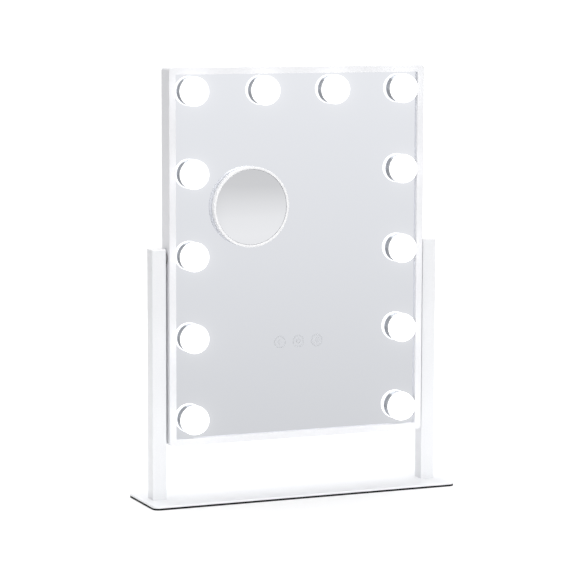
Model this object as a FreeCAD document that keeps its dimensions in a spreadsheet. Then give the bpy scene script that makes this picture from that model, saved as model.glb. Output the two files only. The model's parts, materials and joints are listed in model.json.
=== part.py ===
import FreeCAD, Part
import os
import re
from math import pi
import Sketcher
from FreeCAD import Placement, Rotation, Vector

# Tabletop lighted vanity mirror. Millimetres, +Z up, the mirror faces -Y.
# The origin is the middle of the base's underside.
# Three bodies move: the stand, the tilting mirror head and the lift-off magnifier.

dimensions = {
    # stand
    "base_overhang": 10.5,
    "base_depth": 84,
    "base_corner": 7,
    "base_edge_round": 0.6,
    "pad_thickness": 2,
    "plate_thickness": 2.2,
    "post_side": 16,
    "post_wall": 1.2,
    "post_edge_round": 0.8,
    "post_gap": 2.5,
    "post_above_pivot": 10.2,
    "head_clearance": 58.2,
    "cap_thickness": 1.5,
    "cap_plug": 2.2,
    "insert_height": 12,
    "insert_clearance": 0.1,
    "foot_screw_radius": 1.5,
    "foot_screw_length": 11,
    "foot_screw_head": 1.3,
    "foot_screw_pitch": 8,
    "screw_clearance": 0.05,
    # frame of the mirror head
    "frame_width": 302,
    "frame_height": 410,
    "frame_depth": 24,
    "frame_corner": 4,
    "frame_edge_round": 0.7,
    "rail_width": 7.5,
    "rail_wall": 2,
    "lip_depth": 3.6,
    "flange_width": 7,
    "flange_thickness": 1.6,
    # layers behind the lip
    "glass_thickness": 3,
    "glass_clearance": 0.5,
    "tape_thickness": 0.8,
    "tape_width": 8,
    "tray_thickness": 1.6,
    "tray_clearance": 0.6,
    "panel_thickness": 2,
    "panel_clearance": 0.3,
    "panel_boss_radius": 4,
    "panel_boss_from_side": 71,
    "panel_boss_from_top": 95,
    "panel_screw_radius": 1.4,
    "panel_screw_head_radius": 2.75,
    "panel_screw_head": 1.4,
    "panel_screw_length": 4.4,
    # bulbs
    "bulb_clearance": 3.5,
    "bulb_lift": 1.4,
    "globe_radius": 16,
    "globe_wall": 1.2,
    "globe_rise": 7.5,
    "collar_overhang": 0.65,
    "collar_height": 6,
    "collar_round": 0.8,
    "stud_radius": 5,
    "stud_bore": 2,
    "stud_clearance": 0.4,
    "stud_beyond_nut": 1.2,
    "bulb_nut_width": 14,
    "bulb_nut_height": 3,
    "led_board_radius": 12,
    "led_board_thickness": 1.2,
    "led_chip_side": 5,
    "led_chip_height": 0.9,
    # electronics
    "touch_rise": 105.5,
    "touch_board_width": 72,
    "touch_board_height": 22,
    "touch_board_thickness": 1.2,
    "touch_window_margin": 2,
    "ribbon_width": 12,
    "ribbon_thickness": 0.3,
    "control_rise": 57,
    "control_board_width": 90,
    "control_board_height": 36,
    "control_board_thickness": 1.6,
    "chip_side": 9,
    "chip_height": 1.8,
    "socket_width": 6,
    "socket_height": 4,
    "coil_side": 10,
    "coil_headroom": 3.9,
    "board_boss_height": 3,
    "board_boss_radius": 3,
    "loom_radius": 2,
    "loom_inset": 14,
    "loom_bend": 12,
    "inlet_rise": 22,
    "inlet_radius": 5.5,
    "inlet_flange_radius": 7,
    "inlet_flange_height": 1.5,
    "inlet_length": 10,
    "inlet_bore": 2.8,
    "inlet_bore_depth": 7,
    "inlet_pin": 1,
    "inlet_clearance": 0.1,
    # tilt pivots
    "bolt_radius": 2.5,
    "bolt_clearance": 0.05,
    "bolt_head_radius": 4.25,
    "bolt_head_height": 3,
    "bolt_head_clearance": 1.15,
    "bolt_socket": 1.5,
    "bolt_in_insert": 12,
    "rail_hole_clearance": 0.5,
    "bracket_thickness": 2,
    "bracket_height": 28,
    "bracket_front_clearance": 0.4,
    "bracket_back_clearance": 0.9,
    "bracket_notch_margin": 2,
    "rivet_radius": 1.5,
    "rivet_head_radius": 2.6,
    "rivet_head": 1,
    "rivet_pitch": 18,
    "spring_washer_radius": 4.4,
    "spring_washer_thickness": 1.5,
    "friction_washer_radius": 6.5,
    "friction_washer_clearance": 0.1,
    # magnifier
    "magnifier_from_left": 93.6,
    "magnifier_from_top": 151.6,
    "magnifier_radius": 44,
    "magnifier_back_radius": 43.4,
    "magnifier_height": 8.6,
    "magnifier_lift": 0.4,
    "magnifier_edge_round": 0.8,
    "magnifier_rim_face": 2.6,
    "magnifier_glass_clearance": 0.3,
    "magnifier_glass_drop": 1.2,
    "magnifier_glass_edge": 1.6,
    "magnifier_sag": 2.4,
    "magnifier_shelf_width": 3.3,
    "magnifier_back_fit": 0.1,
    "magnifier_back_inset": 1.7,
    "magnifier_plate_front": 3.4,
    "magnifier_plate_thickness": 1.5,
    "suction_radius": 9,
    "suction_neck_radius": 3,
    "suction_circle": 22,
}

doc = FreeCAD.newDocument("VanityMirror")
sheet = doc.addObject("Spreadsheet::Sheet", "dims")
for row, (alias, size) in enumerate(dimensions.items(), 1):
    sheet.set(f"A{row}", alias)
    sheet.set(f"B{row}", str(size))
    sheet.setAlias(f"B{row}", alias)
doc.recompute()

# Heights, and depths along Y, worked out from the sheet's values.
plate_top = "(pad_thickness + plate_thickness)"
pivot_height = f"({plate_top} + head_clearance + frame_height / 2)"
post_top = f"({pivot_height} + post_above_pivot)"
post_offset = "(frame_width / 2 + post_gap + post_side / 2)"
insert_side = "(post_side - 2 * post_wall - 2 * insert_clearance)"
base_half_width = f"({post_offset} + post_side / 2 + base_overhang)"

glass_back = "(-bolt_head_radius - bolt_head_clearance)"
glass_front = f"({glass_back} - glass_thickness)"
frame_front = f"({glass_front} - lip_depth)"
frame_back = f"({frame_front} + frame_depth)"
tape_back = f"({glass_back} + tape_thickness)"
tray_back = f"({tape_back} + tray_thickness)"
board_front = f"({tray_back} + board_boss_height)"
board_back = f"({board_front} + control_board_thickness)"
panel_front = f"({frame_back} - panel_thickness)"
flange_front = f"({panel_front} - flange_thickness)"

bulb_margin = "(rail_width + bulb_clearance + globe_radius)"
bulb_x = f"(frame_width / 2 - {bulb_margin})"
bulb_z = f"(frame_height / 2 - {bulb_margin})"
collar_radius = "(sqrt(globe_radius ^ 2 - (globe_rise - collar_height) ^ 2) - collar_overhang)"
touch_z = "(touch_rise - frame_height / 2)"
control_z = "(control_rise - frame_height / 2)"
inlet_z = "(inlet_rise - frame_height / 2)"
screw_line = "(rail_wall + flange_width / 2)"

# How far each pivot piece reaches from the middle of the mirror, outwards along X.
rail_inside = "(frame_width / 2 - rail_wall)"
bracket_inside = f"({rail_inside} - bracket_thickness)"
bolt_shoulder = f"({bracket_inside} - spring_washer_thickness)"

# Each bulb's place from the middle of the mirror: up the left column, across the top, down the right column.
rows = ["-1", "-0.5", "0", "0.5", "1"]
bulb_places = [(f"-{bulb_x}", f"{row} * {bulb_z} + bulb_lift") for row in rows]
bulb_places += [(f"{side} * {bulb_x} / 3", f"{bulb_z} + bulb_lift") for side in ("-1", "1")]
bulb_places += [(bulb_x, f"{row} * {bulb_z} + bulb_lift") for row in reversed(rows)]

exported = []


def sheet_terms(text):
    """The text as an expression, with each of the sheet's aliases spelled out."""
    return re.sub(r"[a-z]\w*", lambda word: f"dims.{word[0]}" if word[0] in dimensions else word[0], text)


def value(text):
    return float(sheet.evalExpression(sheet_terms(text)))


def bind(thing, path, text):
    thing.setExpression(path, sheet_terms(text))


def place(thing, x="0", y="0", z="0", rotation=Rotation()):
    thing.Placement = Placement(Vector(), rotation)
    bind(thing, "Placement.Base.x", x)
    bind(thing, "Placement.Base.y", y)
    bind(thing, "Placement.Base.z", z)
    return thing


def node(thing, label):
    """Marks a finished sub-part, which is written to a file of its own."""
    thing.Label = label
    exported.append(thing)
    return thing


# ---- sketches and features ----
def new_body(name):
    return doc.addObject("PartDesign::Body", f"{name}_body")


def add_sketch(body, role, offset="0"):
    sketch = body.newObject("Sketcher::SketchObject", "Sketch")
    support = next(item for item in body.Origin.OriginFeatures if item.Role == role)
    sketch.AttachmentSupport = [(support, "")]
    sketch.MapMode = "FlatFace"
    bind(sketch, "AttachmentOffset.Base.z", offset)
    return sketch


def front_sketch(body, y="0"):
    """A sketch seen from the front, in the plane at that depth. Pads from it grow forwards, towards -Y."""
    return add_sketch(body, "XZ_Plane", f"-1 * {y}")


def fix_point(sketch, geometry, point, across, up):
    for kind, text in (("DistanceX", across), ("DistanceY", up)):
        index = sketch.addConstraint(Sketcher.Constraint(kind, -1, 1, geometry, point, value(text)))
        bind(sketch, f"Constraints[{index}]", text)


def add_outline(sketch, corners):
    """A closed outline of straight lines through the corners."""
    points = [Vector(value(across), value(up), 0) for across, up in corners]
    first = sketch.GeometryCount
    for start, end in zip(points, points[1:] + points[:1]):
        sketch.addGeometry(Part.LineSegment(start, end))
    for step, (across, up) in enumerate(corners):
        line = first + step
        following = first + (step + 1) % len(corners)
        sketch.addConstraint(Sketcher.Constraint("Coincident", line, 2, following, 1))
        fix_point(sketch, line, 1, across, up)


def add_rectangle(sketch, half_width, half_height, x="0", z="0"):
    left, right = f"{x} - ({half_width})", f"{x} + ({half_width})"
    low, high = f"{z} - ({half_height})", f"{z} + ({half_height})"
    add_outline(sketch, [(left, low), (right, low), (right, high), (left, high)])


def add_circle(sketch, across, up, radius):
    centre = Vector(value(across), value(up), 0)
    circle = sketch.addGeometry(Part.Circle(centre, Vector(0, 0, 1), value(radius)))
    fix_point(sketch, circle, 3, across, up)
    index = sketch.addConstraint(Sketcher.Constraint("Radius", circle, value(radius)))
    bind(sketch, f"Constraints[{index}]", radius)


def pad(body, sketch, length):
    feature = body.newObject("PartDesign::Pad", "Pad")
    feature.Profile = sketch
    bind(feature, "Length", length)
    return feature


def pocket(body, sketch, length, both_ways=False):
    feature = body.newObject("PartDesign::Pocket", "Pocket")
    feature.Profile = sketch
    feature.Midplane = both_ways
    bind(feature, "Length", length)
    return feature


def revolve(body, sketch):
    feature = body.newObject("PartDesign::Revolution", "Revolution")
    feature.Profile = sketch
    feature.ReferenceAxis = (sketch, ["V_Axis"])
    feature.Angle = 360
    return feature


def dress(body, kind, size_name, size, chosen):
    """Rounds or chamfers the edges of the body that the test picks."""
    doc.recompute()
    base = body.Tip
    names = [f"Edge{n}" for n, edge in enumerate(base.Shape.Edges, 1) if chosen(edge)]
    feature = body.newObject(f"PartDesign::{kind}", kind)
    feature.Base = (base, names)
    bind(feature, size_name, size)
    doc.recompute()


def round_edges(body, radius, chosen):
    dress(body, "Fillet", "Radius", radius, chosen)


def turned(label, corners):
    """A piece turned about its own Z axis, from the radii and heights of its outline's corners."""
    body = new_body(label)
    sketch = add_sketch(body, "XZ_Plane")
    add_outline(sketch, corners)
    revolve(body, sketch)
    return body


def cylinder(name, radius, length, x="0", y="0", z="0", rotation=Rotation()):
    thing = doc.addObject("Part::Cylinder", name)
    bind(thing, "Radius", radius)
    bind(thing, "Height", length)
    return place(thing, x, y, z, rotation)


def block(name, width, depth, height, x, y, z):
    """A box centred on x and y that stands on z."""
    thing = doc.addObject("Part::Box", name)
    bind(thing, "Length", width)
    bind(thing, "Width", depth)
    bind(thing, "Height", height)
    return place(thing, f"{x} - ({width}) / 2", f"{y} - ({depth}) / 2", z)


def cut(base, tool):
    thing = doc.addObject("Part::Cut", "Cut")
    thing.Base = base
    thing.Tool = tool
    return thing


def fuse(base, tool):
    thing = doc.addObject("Part::Fuse", "Fuse")
    thing.Base = base
    thing.Tool = tool
    return thing


def group(label, members):
    """Identical small pieces that share one node."""
    thing = doc.addObject("Part::Compound", f"{label}_group")
    thing.Links = members
    return node(thing, label)


def along(edge, axis):
    """True for a straight edge along that axis."""
    return isinstance(edge.Curve, Part.Line) and abs(edge.Curve.Direction.dot(axis)) > 1 - 1e-6


def along_y(edge):
    return along(edge, Vector(0, 1, 0))


def along_z(edge):
    return along(edge, Vector(0, 0, 1))


def is_circle(edge, radius, height):
    """True for a level circle of that radius at that height."""
    if not isinstance(edge.Curve, Part.Circle):
        return False
    return abs(edge.Curve.Radius - radius) < 1e-4 and abs(edge.Curve.Center.z - height) < 1e-4


to_front = Rotation(Vector(1, 0, 0), 90)
to_back = Rotation(Vector(1, 0, 0), -90)
half_turn = Rotation(Vector(0, 0, 1), 180)
sides = {"left": -1, "right": 1}


def outwards(side):
    """Turns a piece's own Z axis to point away from the mirror, on that side."""
    return Rotation(Vector(0, 1, 0), 90 * side)


# ---- stand ----
def foot_screw_places():
    return [
        (f"{side} * {post_offset}", f"{end} * foot_screw_pitch / 2")
        for side in sides.values()
        for end in (-1, 1)
    ]


def make_base():
    plate = new_body("base_plate")
    outline = add_sketch(plate, "XY_Plane", "pad_thickness")
    add_rectangle(outline, base_half_width, "base_depth / 2")
    pad(plate, outline, "plate_thickness")
    round_edges(plate, "base_corner", along_z)
    top = value(plate_top)
    round_edges(plate, "base_edge_round", lambda edge: edge.BoundBox.ZMin > top - 1e-6)
    holes = add_sketch(plate, "XY_Plane", plate_top)
    for x, y in foot_screw_places():
        add_circle(holes, x, y, "foot_screw_radius + screw_clearance")
    pocket(plate, holes, "plate_thickness")
    radius = value("foot_screw_radius + screw_clearance")
    low = value("pad_thickness")
    dress(plate, "Chamfer", "Size", "foot_screw_head", lambda edge: is_circle(edge, radius, low))
    node(plate, "base_plate")

    rubber = new_body("base_pad")
    outline = add_sketch(rubber, "XY_Plane")
    add_rectangle(outline, base_half_width, "base_depth / 2")
    pad(rubber, outline, "pad_thickness")
    round_edges(rubber, "base_corner", along_z)
    node(rubber, "base_pad")


def make_post(name, side):
    """A square tube. The wall nearest the mirror has the hole for the pivot bolt."""
    post = new_body(f"{name}_post")
    section = add_sketch(post, "XY_Plane", plate_top)
    add_rectangle(section, "post_side / 2", "post_side / 2")
    pad(post, section, f"{post_top} - cap_thickness - {plate_top}")
    round_edges(post, "post_edge_round", along_z)
    hollow = add_sketch(post, "XY_Plane", post_top)
    add_rectangle(hollow, "post_side / 2 - post_wall", "post_side / 2 - post_wall")
    pocket(post, hollow, f"{post_top} - {plate_top}")
    bolt_hole = add_sketch(post, "YZ_Plane", "post_side / 2")
    add_circle(bolt_hole, "0", pivot_height, "bolt_radius + rail_hole_clearance")
    pocket(post, bolt_hole, "2 * post_wall")
    turn = Rotation() if side < 0 else half_turn
    place(post, x=f"{side} * {post_offset}", rotation=turn)
    node(post, f"{name}_post")


def make_cap(name, side):
    cap = new_body(f"{name}_cap")
    lid = add_sketch(cap, "XY_Plane", f"{post_top} - cap_thickness")
    add_rectangle(lid, "post_side / 2", "post_side / 2")
    pad(cap, lid, "cap_thickness")
    round_edges(cap, "post_edge_round", along_z)
    plug = add_sketch(cap, "XY_Plane", f"{post_top} - cap_thickness - cap_plug")
    add_rectangle(plug, f"{insert_side} / 2", f"{insert_side} / 2")
    pad(cap, plug, "cap_plug")
    return place(cap, x=f"{side} * {post_offset}")


def make_foot_insert(side):
    """The tapped block in the foot of a post, which the base's screws pull down."""
    x = f"{side} * {post_offset}"
    insert = block("FootBlock", insert_side, insert_side, "insert_height", x, "0", plate_top)
    for end in (-1, 1):
        bore = cylinder(
            "FootBore",
            "foot_screw_radius + screw_clearance",
            "insert_height",
            x,
            f"{end} * foot_screw_pitch / 2",
            plate_top,
        )
        insert = cut(insert, bore)
    return insert


def make_base_screw(x, y):
    head = doc.addObject("Part::Cone", "ScrewHead")
    bind(head, "Radius1", "foot_screw_radius + foot_screw_head")
    bind(head, "Radius2", "foot_screw_radius")
    bind(head, "Height", "foot_screw_head")
    place(head, x, y, "pad_thickness")
    shank = cylinder("ScrewShank", "foot_screw_radius", "foot_screw_length", x, y, "pad_thickness")
    return fuse(head, shank)


def make_pivot_insert(side):
    """The tapped block in the top of a post, which the pivot bolt pulls against the inner wall."""
    x = f"{side} * ({post_offset} - insert_clearance)"
    low = f"{pivot_height} - insert_height / 2"
    insert = block("PivotBlock", insert_side, insert_side, "insert_height", x, "0", low)
    start = f"{side} * ({post_offset} - insert_clearance - {insert_side} / 2)"
    bore = cylinder(
        "PivotBore", "bolt_radius + screw_clearance", insert_side, start, "0", pivot_height, outwards(side)
    )
    return cut(insert, bore)


def ring(name, inner, outer, thickness, x, side):
    """A flat washer on the pivot's axis, whose face nearest the mirror's middle is at x."""
    start = f"{side} * ({x})"
    disc = cylinder(f"{name}Disc", outer, thickness, start, "0", pivot_height, outwards(side))
    bore = cylinder(f"{name}Bore", inner, thickness, start, "0", pivot_height, outwards(side))
    return cut(disc, bore)


def make_pivot_bolt(name, side):
    """The tilt axle. Its head is inside the frame and its thread in the post's insert."""
    inner = f"{bolt_shoulder} - bolt_head_height"
    tip = f"{post_offset} - {insert_side} / 2 + bolt_in_insert"
    bolt = turned(
        f"{name}_pivot_bolt",
        [
            ("0", f"{inner} + bolt_socket"),
            ("bolt_socket", f"{inner} + bolt_socket"),
            ("bolt_socket", inner),
            ("bolt_head_radius", inner),
            ("bolt_head_radius", bolt_shoulder),
            ("bolt_radius", bolt_shoulder),
            ("bolt_radius", tip),
            ("0", tip),
        ],
    )
    place(bolt, z=pivot_height, rotation=outwards(side))
    node(bolt, f"{name}_pivot_bolt")


def make_stand():
    make_base()
    for name, side in sides.items():
        make_post(name, side)
        make_pivot_bolt(name, side)
    group("post_caps", [make_cap(name, side) for name, side in sides.items()])
    group("foot_inserts", [make_foot_insert(side) for side in sides.values()])
    group("base_screws", [make_base_screw(x, y) for x, y in foot_screw_places()])
    group("pivot_inserts", [make_pivot_insert(side) for side in sides.values()])
    bore = "bolt_radius + screw_clearance"
    friction = "post_gap - friction_washer_clearance"
    start = "frame_width / 2 + friction_washer_clearance"
    group(
        "friction_washers",
        [ring("Friction", bore, "friction_washer_radius", friction, start, side) for side in sides.values()],
    )
    group(
        "spring_washers",
        [
            ring("Spring", bore, "spring_washer_radius", "spring_washer_thickness", bolt_shoulder, side)
            for side in sides.values()
        ],
    )


# ---- mirror head: everything is drawn about the pivot and lifted to its height ----
def lift(thing):
    return place(thing, z=pivot_height)


def slab(name, front, back, half_width, half_height, x="0", z="0"):
    """A sheet that faces forwards, from one depth to another."""
    body = new_body(name)
    sketch = front_sketch(body, back)
    add_rectangle(sketch, half_width, half_height, x, z)
    pad(body, sketch, f"{back} - {front}")
    return body


def cut_window(body, front, back, half_width, half_height, x="0", z="0"):
    sketch = front_sketch(body, front)
    add_rectangle(sketch, half_width, half_height, x, z)
    pocket(body, sketch, f"{back} - {front}")


def cut_holes(body, front, back, places, radius):
    sketch = front_sketch(body, front)
    for x, z in places:
        add_circle(sketch, x, z, radius)
    pocket(body, sketch, f"{back} - {front}")


def panel_screw_places():
    places = []
    for side in (-1, 1):
        for end in (-1, 1):
            places.append((f"{side} * (frame_width / 2 - {screw_line})", f"{end} * frame_height / 4"))
            places.append((f"{end} * frame_width / 4", f"{side} * (frame_height / 2 - {screw_line})"))
    return places


def make_frame():
    """The four mitred rails, cut from one ring with a front lip, a channel and a rear flange."""
    ring_body = slab("frame_ring", frame_front, frame_back, "frame_width / 2", "frame_height / 2")
    round_edges(ring_body, "frame_corner", along_y)
    front, back = value(frame_front), value(frame_back)
    round_edges(
        ring_body,
        "frame_edge_round",
        lambda edge: edge.BoundBox.YMax < front + 1e-6 or edge.BoundBox.YMin > back - 1e-6,
    )
    openings = [
        (frame_front, glass_front, "rail_width"),
        (glass_front, flange_front, "rail_wall"),
        (flange_front, panel_front, "(rail_wall + flange_width)"),
        (panel_front, frame_back, "rail_wall"),
    ]
    for front, back, rim in openings:
        cut_window(ring_body, front, back, f"frame_width / 2 - {rim}", f"frame_height / 2 - {rim}")
    cut_holes(
        ring_body, flange_front, panel_front, panel_screw_places(), "panel_screw_radius + screw_clearance"
    )
    pivots = add_sketch(ring_body, "YZ_Plane")
    add_circle(pivots, "0", "0", "bolt_radius + rail_hole_clearance")
    for end in (-1, 1):
        add_circle(pivots, "0", f"{end} * rivet_pitch / 2", "rivet_radius + screw_clearance")
    pocket(ring_body, pivots, "2 * frame_width", both_ways=True)
    lift(ring_body)

    reach = "2 * (rail_wall + flange_width)"
    outer = [(sx, sz) for sx, sz in ((-1, 1), (1, 1), (1, -1), (-1, -1))]
    rails = ["frame_top_rail", "frame_right_rail", "frame_bottom_rail", "frame_left_rail"]
    for step, label in enumerate(rails):
        ends = [outer[step], outer[(step + 1) % 4]]
        wedge = new_body(f"{label}_wedge")
        sketch = front_sketch(wedge, frame_back)
        corners = [(f"{sx} * frame_width / 2", f"{sz} * frame_height / 2") for sx, sz in ends]
        corners += [
            (f"{sx} * (frame_width / 2 - {reach})", f"{sz} * (frame_height / 2 - {reach})")
            for sx, sz in reversed(ends)
        ]
        add_outline(sketch, corners)
        pad(wedge, sketch, "frame_depth")
        lift(wedge)
        rail = doc.addObject("Part::Common", label)
        rail.Base = ring_body
        rail.Tool = wedge
        node(rail, label)


def make_glass():
    margin = "(rail_wall + glass_clearance)"
    glass = slab(
        "mirror_glass",
        glass_front,
        glass_back,
        f"frame_width / 2 - {margin}",
        f"frame_height / 2 - {margin}",
    )
    cut_holes(glass, glass_front, glass_back, bulb_places, "stud_radius + stud_clearance")
    node(lift(glass), "mirror_glass")

    inner = f"({margin} + tape_width)"
    tape = slab(
        "glass_tape", glass_back, tape_back, f"frame_width / 2 - {margin}", f"frame_height / 2 - {margin}"
    )
    cut_window(tape, glass_back, tape_back, f"frame_width / 2 - {inner}", f"frame_height / 2 - {inner}")
    node(lift(tape), "glass_tape")


def control_boss_places():
    across = "(control_board_width / 2 - 2 * board_boss_radius)"
    up = "(control_board_height / 2 - 2 * board_boss_radius)"
    return [(f"{sx} * {across}", f"{sz} * {up} + {control_z}") for sx in (-1, 1) for sz in (-1, 1)]


def make_tray():
    """The moulded carrier behind the glass. The bulbs' studs go through it and the control board sits on it."""
    margin = "(rail_wall + tray_clearance)"
    tray = slab(
        "inner_tray", tape_back, tray_back, f"frame_width / 2 - {margin}", f"frame_height / 2 - {margin}"
    )
    cut_holes(tray, tape_back, tray_back, bulb_places, "stud_radius + stud_clearance")
    cut_window(
        tray,
        tape_back,
        tray_back,
        "touch_board_width / 2 + touch_window_margin",
        "touch_board_height / 2 + touch_window_margin",
        z=touch_z,
    )
    head_inside = f"({bolt_shoulder} - bolt_head_height - bracket_notch_margin)"
    for side in (-1, 1):
        cut_window(
            tray,
            tape_back,
            tray_back,
            f"(frame_width / 2 - {head_inside}) / 2",
            "bracket_height / 2 + bracket_notch_margin",
            x=f"{side} * (frame_width / 2 + {head_inside}) / 2",
        )
    bosses = front_sketch(tray, board_front)
    for x, z in control_boss_places():
        add_circle(bosses, x, z, "board_boss_radius")
    pad(tray, bosses, "board_boss_height")
    node(lift(tray), "inner_tray")


def make_back():
    margin = "(rail_wall + panel_clearance)"
    panel = slab(
        "back_panel", panel_front, frame_back, f"frame_width / 2 - {margin}", f"frame_height / 2 - {margin}"
    )
    cut_holes(panel, panel_front, frame_back, panel_screw_places(), "panel_screw_radius + screw_clearance")
    cut_holes(panel, panel_front, frame_back, [("0", inlet_z)], "inlet_radius + inlet_clearance")
    bosses = front_sketch(panel, panel_front)
    for sx in (-1, 1):
        for sz in (-1, 0, 1):
            x = f"{sx} * (frame_width / 2 - panel_boss_from_side)"
            z = f"{sz} * (frame_height / 2 - panel_boss_from_top)"
            add_circle(bosses, x, z, "panel_boss_radius")
    pad(panel, bosses, f"{panel_front} - {tray_back}")
    node(lift(panel), "back_panel")

    screws = []
    for x, z in panel_screw_places():
        height = f"{pivot_height} + {z}"
        head = cylinder(
            "PanelHead", "panel_screw_head_radius", "panel_screw_head", x, frame_back, height, to_back
        )
        shank = cylinder(
            "PanelShank",
            "panel_screw_radius",
            "panel_screw_length",
            x,
            f"{frame_back} - panel_screw_length",
            height,
            to_back,
        )
        screws.append(fuse(head, shank))
    group("back_panel_screws", screws)


def make_pivot_bracket(name, side):
    """The steel plate riveted inside a side rail, whose bore turns on the pivot bolt."""
    bracket = new_body(f"{name}_pivot_bracket")
    sketch = add_sketch(bracket, "XY_Plane", bracket_inside)
    half = "bracket_height / 2"
    front = f"({tape_back} + bracket_front_clearance)"
    back = f"({flange_front} - bracket_back_clearance)"
    add_outline(sketch, [(f"-{half}", front), (half, front), (half, back), (f"-{half}", back)])
    add_circle(sketch, "0", "0", "bolt_radius + bolt_clearance")
    for end in (-1, 1):
        add_circle(sketch, f"{end} * rivet_pitch / 2", "0", "rivet_radius + screw_clearance")
    pad(bracket, sketch, "bracket_thickness")
    place(bracket, z=pivot_height, rotation=outwards(side))
    node(bracket, f"{name}_pivot_bracket")


def make_rivet(side, end):
    z = f"{pivot_height} + {end} * rivet_pitch / 2"
    length = "rail_wall + bracket_thickness"
    shank = cylinder("RivetShank", "rivet_radius", length, f"{side} * {bracket_inside}", "0", z, outwards(side))
    head = cylinder(
        "RivetHead",
        "rivet_head_radius",
        "rivet_head",
        f"{side} * ({bracket_inside} - rivet_head)",
        "0",
        z,
        outwards(side),
    )
    return fuse(head, shank)


def make_touch_board():
    board = slab(
        "touch_board",
        glass_back,
        f"({glass_back} + touch_board_thickness)",
        "touch_board_width / 2",
        "touch_board_height / 2",
        z=touch_z,
    )
    node(lift(board), "touch_board")

    ribbon = new_body("touch_ribbon")
    sketch = add_sketch(ribbon, "YZ_Plane")
    near = f"({glass_back} + touch_board_thickness)"
    far = board_front
    start = touch_z
    bend = f"({touch_z} - 0.35 * touch_board_height)"
    step = f"({bend} - ribbon_width / 4)"
    end = f"({control_z} + control_board_height / 3)"
    add_outline(
        sketch,
        [
            (near, start),
            (near, bend),
            (f"{far} - ribbon_thickness", step),
            (f"{far} - ribbon_thickness", end),
            (far, end),
            (far, f"{step} + ribbon_thickness"),
            (f"{near} + ribbon_thickness", f"{bend} + ribbon_thickness"),
            (f"{near} + ribbon_thickness", start),
        ],
    )
    feature = pad(ribbon, sketch, "ribbon_width")
    feature.Midplane = True
    node(lift(ribbon), "touch_ribbon")


def add_component(board, half_width, half_height, height, x, z):
    sketch = front_sketch(board, f"({board_back} + {height})")
    add_rectangle(sketch, half_width, half_height, x, z)
    pad(board, sketch, height)


def make_control_board():
    """The circuit board with its chip, a socket for the wires at each side and the driver's coil."""
    coil_height = f"({panel_front} - {board_back} - coil_headroom)"
    board = slab(
        "control_board",
        board_front,
        board_back,
        "control_board_width / 2",
        "control_board_height / 2",
        z=control_z,
    )
    socket_x = "(control_board_width / 2 - socket_width)"
    components = [
        ("chip_side / 2", "chip_side / 2", "chip_height", "-chip_side", "chip_side / 3"),
        ("socket_width / 2", "socket_width", "socket_height", f"-{socket_x}", "0"),
        ("socket_width / 2", "socket_width", "socket_height", socket_x, "0"),
        ("coil_side / 2", "coil_side / 2", coil_height, "1.6 * coil_side", "-0.6 * coil_side"),
    ]
    for half_width, half_height, height, x, up in components:
        add_component(board, half_width, half_height, height, x, f"{up} + {control_z}")
    node(lift(board), "control_board")


def make_loom():
    """The wire bundle that loops past every bulb, both ends at the control board's sides."""
    depth = value(f"{tray_back} + 1.1 * loom_radius")
    side = value(f"{bulb_x} - loom_inset")
    top = value(f"{bulb_z} - loom_inset")
    low = value(control_z)
    end = value("control_board_width / 2")
    bend = value("loom_bend")
    centre = value(pivot_height)

    def point(x, z):
        return Vector(x, depth, centre + z)

    def corner(x, z, before, after):
        """The arc round a corner, from the side it comes from to the side it leaves by."""
        start = point(x, z) + before * bend
        finish = point(x, z) + after * bend
        middle = point(x, z) + (before + after) * bend * (1 - 0.5**0.5)
        return Part.Arc(start, middle, finish).toShape()

    right, up = Vector(1, 0, 0), Vector(0, 0, 1)
    edges = [
        Part.makeLine(point(-end, low), point(-side + bend, low)),
        corner(-side, low, right, up),
        Part.makeLine(point(-side, low + bend), point(-side, top - bend)),
        corner(-side, top, -up, right),
        Part.makeLine(point(-side + bend, top), point(side - bend, top)),
        corner(side, top, -right, -up),
        Part.makeLine(point(side, top - bend), point(side, low + bend)),
        corner(side, low, up, -right),
        Part.makeLine(point(side - bend, low), point(end, low)),
    ]
    path = Part.Wire(edges)
    section = Part.Wire(Part.makeCircle(value("loom_radius"), point(-end, low), -right))
    loom = doc.addObject("Part::Feature", "wire_loom_pipe")
    loom.Shape = path.makePipeShell([section], True, False)
    expected = path.Length * pi * value("loom_radius") ** 2
    if abs(loom.Shape.Volume - expected) > 0.01 * expected:
        raise ValueError("the wire loom's volume doesn't match its path")
    node(loom, "wire_loom")


def make_inlet():
    inlet = turned(
        "dc_inlet",
        [
            ("0", "-inlet_length"),
            ("inlet_radius", "-inlet_length"),
            ("inlet_radius", "0"),
            ("inlet_flange_radius", "0"),
            ("inlet_flange_radius", "inlet_flange_height"),
            ("inlet_bore", "inlet_flange_height"),
            ("inlet_bore", "inlet_flange_height - inlet_bore_depth"),
            ("inlet_pin", "inlet_flange_height - inlet_bore_depth"),
            ("inlet_pin", "0"),
            ("0", "0"),
        ],
    )
    place(inlet, y=frame_back, z=f"{pivot_height} + {inlet_z}", rotation=to_back)
    node(inlet, "dc_inlet")


# ---- bulbs: drawn along their own Z axis, with the glass's front at 0, then turned to face forwards ----
def on_glass(thing, x, z):
    return place(thing, x, glass_front, f"{pivot_height} + {z}", to_front)


def make_dome(number, x, z):
    """A hollow frosted globe, cut off flat where it sits on its collar."""
    outer = doc.addObject("Part::Sphere", "GlobeOuter")
    bind(outer, "Radius", "globe_radius")
    bind(outer, "Angle1", "asin((collar_height - globe_rise) / globe_radius)")
    bind(outer, "Placement.Base.z", "globe_rise")
    inner = doc.addObject("Part::Sphere", "GlobeInner")
    bind(inner, "Radius", "globe_radius - globe_wall")
    bind(inner, "Placement.Base.z", "globe_rise")
    label = f"bulb_dome_{number:02d}"
    node(on_glass(cut(outer, inner), x, z), label)


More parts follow.
